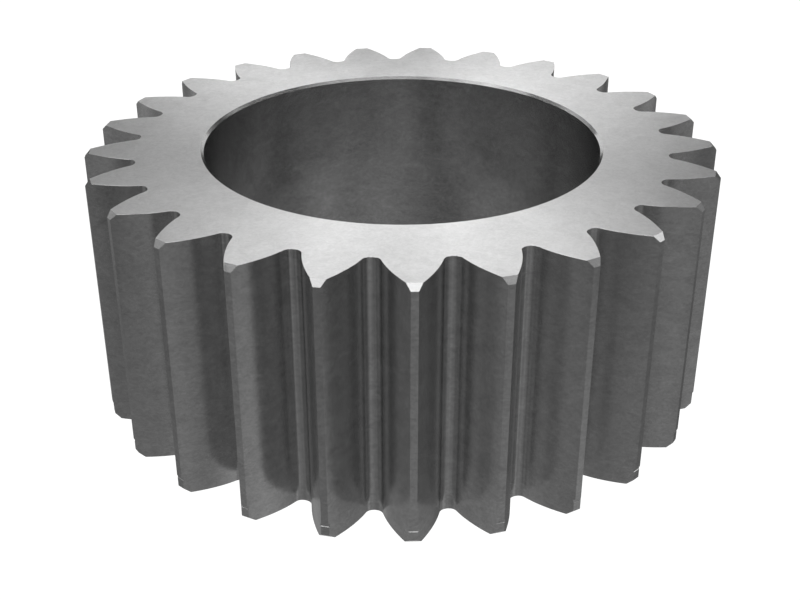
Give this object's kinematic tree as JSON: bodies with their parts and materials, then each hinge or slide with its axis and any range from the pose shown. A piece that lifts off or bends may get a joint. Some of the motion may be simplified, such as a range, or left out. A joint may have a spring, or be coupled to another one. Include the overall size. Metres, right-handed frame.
{
  "type": "planet gear",
  "caption": "Wide spur gear ring with straight involute teeth and a plain ground through bore, made to run on a bearing between a sun gear and a ring gear.",
  "frame": {"origin": "on the bore axis, half way up the face width", "axes": "+Z along the bore axis, away from the end with the turned band, and one tooth is centred on -Y"},
  "size_m": [0.1428, 0.1425, 0.0592],
  "materials": {
    "gear_steel": "ground and turned case-hardened steel, bare, satin"
  },
  "bodies": {
    "root": {"planet_gear": "gear_steel"}
  },
  "joints": []
}
